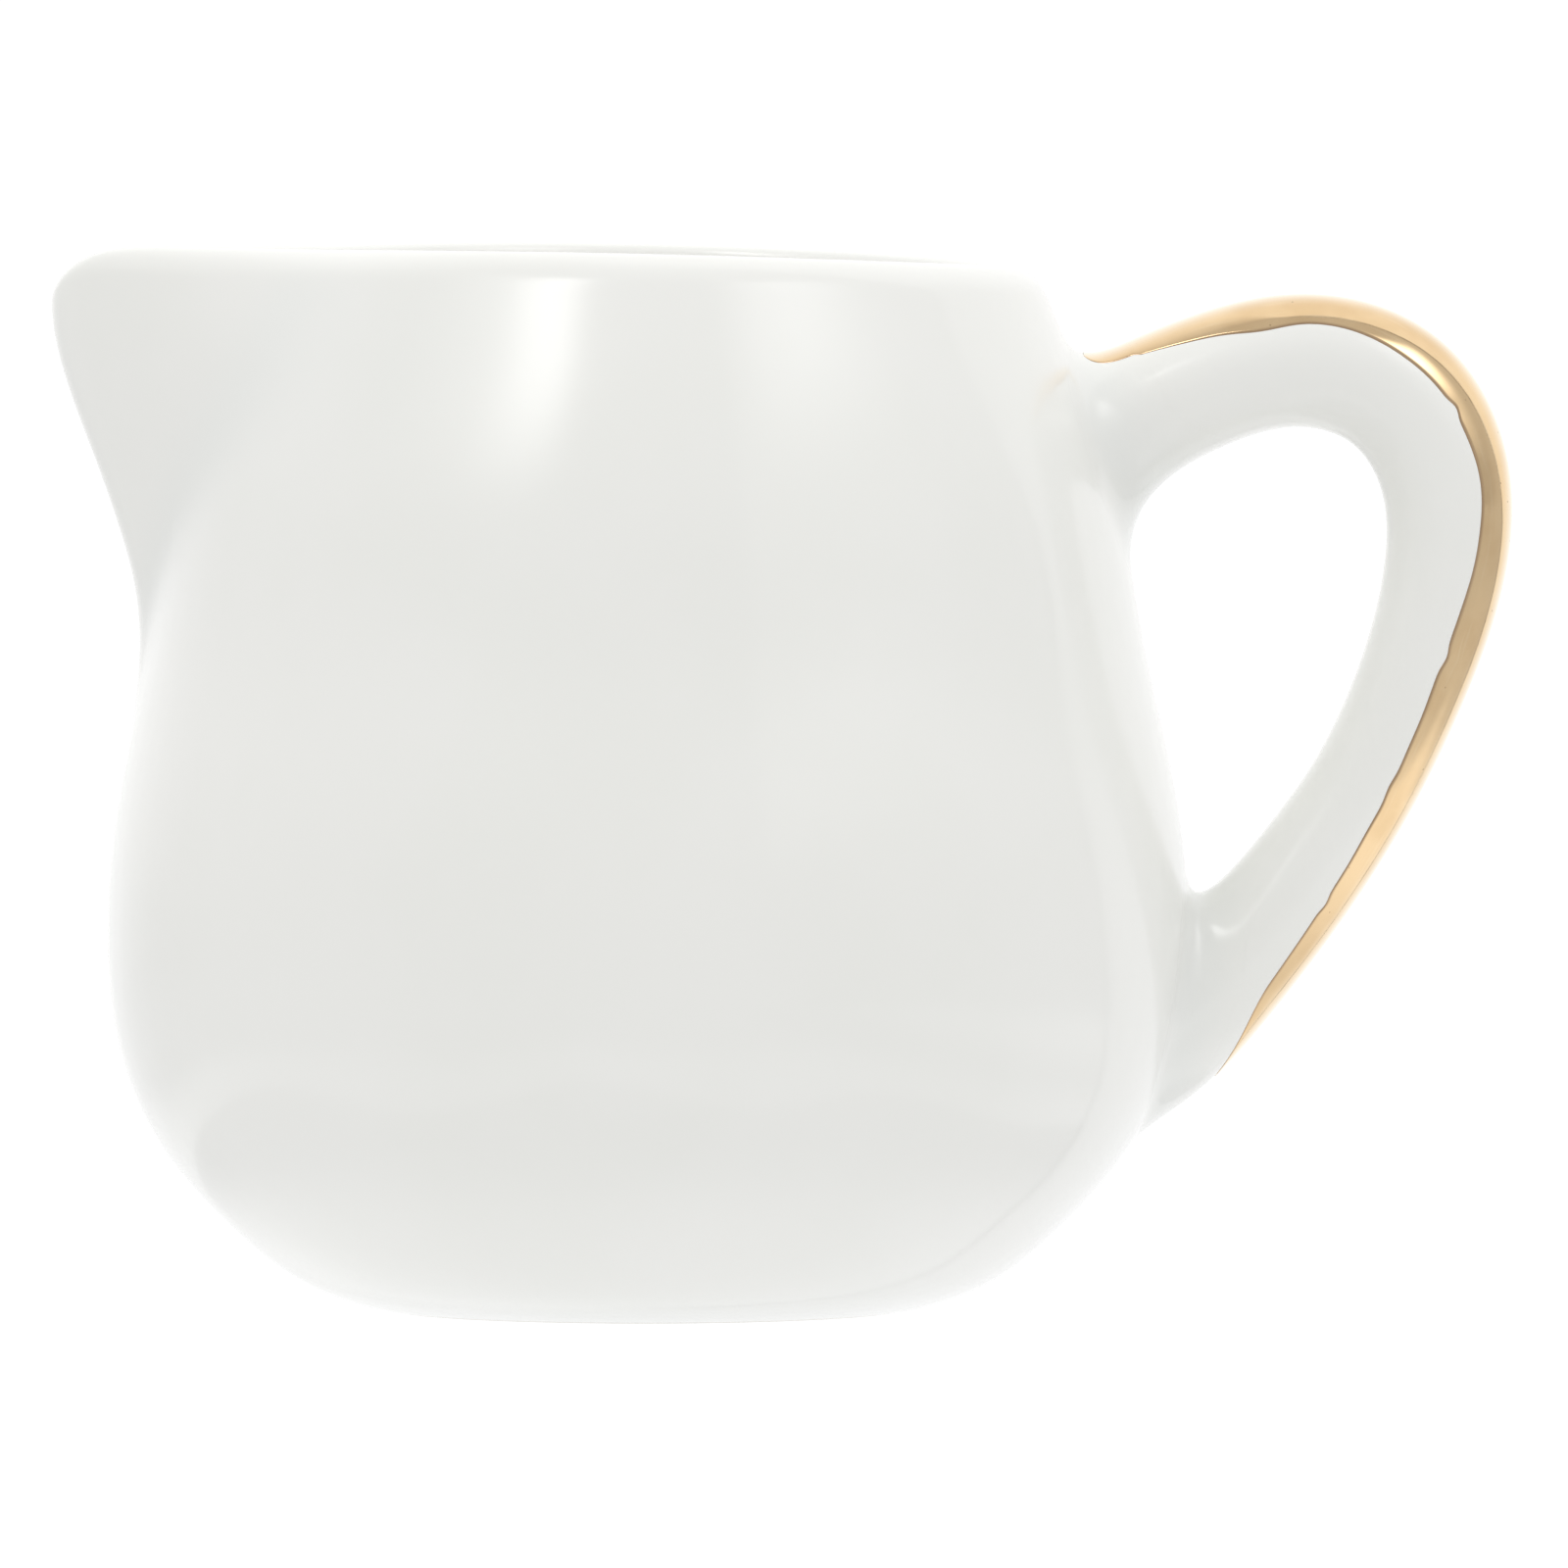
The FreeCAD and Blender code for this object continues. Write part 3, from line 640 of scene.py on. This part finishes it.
def body_piece(material):
    rings = body_rings()
    radius = np.hypot(rings[..., 0], rings[..., 1])
    height = rings[..., 2]
    bare = band(radius, 15.2, 17.5, 0.25) * (height < 0.12)
    angle = np.arctan2(-rings[..., 1], -rings[..., 0])
    gap = np.abs(BODY.first_at_height(height) - spout_radius(angle, height, 0.0))
    crease = np.exp(-(gap / 1.6) ** 2) * band(height, 46.0, 66.0, 4.0)
    foot = np.exp(-height / 1.2) * (radius > 16.0)
    pool = np.clip(0.7 * crease + foot, 0.0, 1.0)
    # Mask for the painted glow on the inside of the wall, fading in between 20 mm and 50 mm up.
    lip_middle = wall_radius(angle, height, 0.5 * WALL)
    inside = smooth_step(lip_middle - radius, 0.0, 1.2) * smooth_step(height, 20.0, 50.0)
    piece = skin_object("jug_body", rings, False, {"pool": pool, "bare": bare, "inside": inside})
    place(piece, "body", material)


def handle_piece(material):
    rings = handle_rings()
    zero = np.zeros(rings.shape[:2])
    piece = skin_object("jug_handle", rings, False, {"pool": zero, "bare": zero})
    place(piece, "handle", material)


def slip_piece(name, node, sizes, root, material):
    rings = slip_rings(sizes, root)
    columns = rings.shape[1]
    across = np.clip((np.arange(columns) - 3) / 24.0, 0.0, 1.0)
    pool = np.broadcast_to(0.7 * np.sin(np.pi * across), rings.shape[:2])
    piece = skin_object(name, rings, True, {"pool": pool, "bare": np.zeros(rings.shape[:2])})
    place(piece, node, material)


def gilt_piece(material):
    rings, columns = gilt_rings()
    rows = rings.shape[0]
    position = np.linspace(-1.0, 1.0, columns)
    top_across = np.broadcast_to(position * 4.0, (rows, columns))
    across = np.concatenate([top_across, top_across[:, ::-1]], axis=1)
    top_edge = np.broadcast_to(smooth_step(np.abs(position), 0.95, 0.99), (rows, columns))
    edge = np.concatenate([top_edge, np.ones((rows, columns))], axis=1)
    middle = rings[:, columns // 2]
    steps = np.linalg.norm(np.diff(middle, axis=0), axis=-1)
    length = np.concatenate([[0.0], np.cumsum(steps)])
    along = np.broadcast_to(length[:, None], rings.shape[:2])
    piece = skin_object("gilt_band", rings, False, {"edge": edge, "along": along, "across": across})
    place(piece, "gilt_band", material)


# ---- stage, light and camera -----------------------------------------------------------
FLOOR_RADIUS = 30.0              # metres
CAMERA_DISTANCE = 1.541
CAMERA_HEIGHT = 0.0916
AIM = (0.0090, 0.0, 0.0344)
LENS = 540.0

# Strengths of the light.  The light is split by the kind of ray: the camera sees plain white,
# mirror-like rays see the studio, and all other rays get a smooth soft light.
LIGHT_LEVEL = 0.345
LIGHT_ABOVE = 1.19
LIGHT_BEHIND = 0.42
FLOOR_GLOW = 0.875
COVE = 1.08                      # the bright sweep behind the jug, as the glaze mirrors it
ROOM = 0.55
SIDES = 0.12
SWEEP_TILT = 0.46                # the sweep's border leans forward overhead
SWEEP_EDGE = 0.42                # and how far behind the jug it starts
FLOOR_SHINE = 0.66
GAP_DEPTH = 0.4                  # what is left of the light in the narrow gap beside the sweep
INSIDE_GLOW = 0.13               # stands in for light that comes through the thin wall


def ray_kinds(graph):
    """1 for a ray from the camera, and 1 for a mirror-like ray."""
    node = graph.tree.nodes.new("ShaderNodeLightPath")
    return node.outputs["Is Camera Ray"], node.outputs["Is Glossy Ray"]


def by_ray(graph, to_camera, in_gloss, otherwise):
    """Picks a strength by the kind of ray that meets the surface."""
    camera_ray, glossy_ray = ray_kinds(graph)
    level = graph.blend(glossy_ray, otherwise, in_gloss)
    return graph.blend(camera_ray, level, to_camera)


def sweep_and_gap(g, direction):
    """1 for directions that end on the bright sweep behind the jug, and 1 for the dark gap before it.

    The sweep's border is crisp on the handle's side and very soft on the spout's.
    """
    split = g.tree.nodes.new("ShaderNodeSeparateXYZ")
    g.feed(split.inputs[0], direction)
    x, y, z = split.outputs
    depth = g.math("SUBTRACT", g.math("ADD", y, g.math("MULTIPLY", z, SWEEP_TILT)), SWEEP_EDGE)
    soft = g.ramp(x, -0.30, 0.0, 1.0, 0.0)
    border = g.math("ADD", g.math("MULTIPLY", soft, 0.58), 0.02)
    sweep = g.ramp(depth, g.math("MULTIPLY", soft, 0.07), border)
    gap = g.math("MULTIPLY", g.ramp(depth, -0.034, -0.024), g.ramp(depth, -0.006, 0.002, 1.0, 0.0))
    return sweep, g.math("MULTIPLY", gap, g.ramp(x, -0.1, 0.1))


def floor_piece():
    """A big pale table top: plain white to the camera, and to the glaze a lit product table.

    The glaze mirrors a brighter patch under the jug and beside its handle, a faint bright ring
    further out, and the white sweep behind.
    """
    mesh = bpy.data.meshes.new("floor")
    corners = [(math.cos(a), math.sin(a)) for a in np.linspace(0.0, 2.0 * math.pi, 65)[:-1]]
    points = [(FLOOR_RADIUS * x, FLOOR_RADIUS * y, body_low[2]) for x, y in corners]
    mesh.from_pydata(points, [], [tuple(range(len(points)))])
    floor = bpy.data.objects.new("floor", mesh)
    bpy.context.scene.collection.objects.link(floor)
    material = bpy.data.materials.new("table_top")
    material.use_nodes = True
    g = Graph(material.node_tree)
    point = millimetres(g)
    length = g.tree.nodes.new("ShaderNodeVectorMath")
    length.operation = "LENGTH"
    g.feed(length.inputs[0], point)
    wander = g.math("MULTIPLY", g.math("SUBTRACT", noise(g, point, 45.0, 0.0), 0.5), 40.0)
    reach = g.math("ADD", length.outputs["Value"], wander)
    ring = g.math("MULTIPLY", g.ramp(reach, 50.0, 52.0), g.ramp(reach, 58.0, 82.0, 1.0, 0.0))
    near = g.ramp(length.outputs["Value"], 24.0, 42.0, 0.45, 0.0)
    far = g.ramp(reach, 80.0, 300.0, FLOOR_SHINE, FLOOR_SHINE - 0.12)
    side = g.ramp(g.add("SeparateXYZ", output=0, Vector=point), 55.0, 95.0)
    beside = g.math("MULTIPLY", side, g.ramp(reach, 105.0, 150.0, 0.40, 0.0))
    lit = g.math("ADD", g.math("ADD", near, far), g.math("MULTIPLY", ring, 0.35))
    towards = g.tree.nodes.new("ShaderNodeVectorMath")
    towards.operation = "SCALE"
    g.feed(towards.inputs[0], g.add("NewGeometry", output=4))
    towards.inputs[3].default_value = -1.0
    sweep, gap = sweep_and_gap(g, towards.outputs[0])
    table = g.math("MULTIPLY", g.math("ADD", lit, beside), g.ramp(gap, 0.0, 1.0, 1.0, GAP_DEPTH))
    strength = by_ray(g, 1.0, g.blend(sweep, table, 0.9 * COVE), FLOOR_GLOW)
    matte = g.add("BsdfDiffuse", Color=(0.08, 0.08, 0.08, 1.0))
    glow = g.add("Emission", Color=(0.992, 0.996, 1.0, 1.0), Strength=strength)
    g.add("OutputMaterial", Surface=g.add_shader(matte, glow))
    mesh.materials.append(material)


def panel(g, azimuth, elevation, across, up, glow):
    """A light panel: across is (start, full, fade, end) in azimuth, up the same in elevation."""
    for angle, limits in ((azimuth, across), (elevation, up)):
        start, full, fade, end = limits
        window = g.math("MULTIPLY", g.ramp(angle, start, full), g.ramp(angle, fade, end, 1.0, 0.0))
        glow = g.math("MULTIPLY", window, glow)
    return glow


def studio_world():
    """A bright white sweep behind and above, and soft light panels in a dimmer room in front."""
    world = bpy.data.worlds.new("studio")
    bpy.context.scene.world = world
    world.use_nodes = True
    g = Graph(world.node_tree)
    direction = g.add("TexCoord", output=0)
    split = g.tree.nodes.new("ShaderNodeSeparateXYZ")
    g.feed(split.inputs[0], direction)
    x, y, z = split.outputs
    degree = 180.0 / math.pi
    azimuth = g.math("MULTIPLY", g.math("ARCTAN2", x, g.math("MULTIPLY", y, -1.0)), degree)
    elevation = g.math("MULTIPLY", g.math("ARCSINE", z), degree)

    sweep, gap = sweep_and_gap(g, direction)
    sides = g.math("MULTIPLY", g.ramp(g.math("ABSOLUTE", azimuth), 80.0, 120.0), SIDES)
    room = g.math("ADD", g.ramp(z, -0.1, 0.9, ROOM, ROOM + 0.1), sides)
    dim_room = g.math("MULTIPLY", room, g.ramp(gap, 0.0, 1.0, 1.0, GAP_DEPTH))
    lean = g.math("MULTIPLY", g.math("SUBTRACT", elevation, 40.0), 0.40)
    left = g.math("SUBTRACT", azimuth, lean)
    glow = 0.0
    for turn, across, up, strength in (
            (azimuth, (-80.0, -42.0, -34.0, -18.0), (22.0, 40.0, 48.0, 60.0), 1.3),
            (left, (-52.0, -35.0, -32.0, -18.0), (24.0, 46.0, 48.0, 58.0), 4.6),
            (azimuth, (25.0, 27.0, 46.0, 98.0), (8.0, 22.0, 46.0, 58.0), 0.45),
            (azimuth, (25.0, 40.0, 46.0, 90.0), (24.0, 42.0, 48.0, 60.0), 1.2),
            (azimuth, (32.0, 54.0, 58.0, 82.0), (26.0, 46.0, 50.0, 58.0), 0.7)):
        glow = g.math("ADD", glow, panel(g, turn, elevation, across, up, strength))
    mirrored = g.blend(sweep, g.math("ADD", dim_room, glow), COVE)
    soft = g.math("ADD", LIGHT_LEVEL, g.math("MULTIPLY", g.math("MAXIMUM", z, 0.0), LIGHT_ABOVE))
    soft = g.math("ADD", soft, g.math("MULTIPLY", g.math("MAXIMUM", y, 0.0), LIGHT_BEHIND))
    shine = g.add("Background", Color=(1.0, 1.0, 0.998, 1.0), Strength=by_ray(g, 1.0, mirrored, soft))
    g.add("OutputWorld", Surface=shine)


def camera():
    data = bpy.data.cameras.new("camera")
    data.lens = LENS
    data.sensor_width = 36.0
    data.clip_end = 100.0
    eye = bpy.data.objects.new("camera", data)
    eye.location = (AIM[0], -CAMERA_DISTANCE, CAMERA_HEIGHT)
    eye.rotation_mode = "QUATERNION"
    eye.rotation_quaternion = (Vector(AIM) - eye.location).to_track_quat("-Z", "Y")
    bpy.context.scene.collection.objects.link(eye)
    bpy.context.scene.camera = eye


porcelain = porcelain_material()
body_piece(porcelain)
handle_piece(porcelain)
slip_piece("upper_slip", "upper_handle_slip", UPPER_SLIP, UPPER_RANGE, porcelain)
slip_piece("lower_slip", "lower_handle_slip", LOWER_SLIP, LOWER_RANGE, porcelain)
gilt_piece(gilding_material())
floor_piece()
studio_world()
camera()
bpy.context.scene.view_settings.view_transform = "Standard"
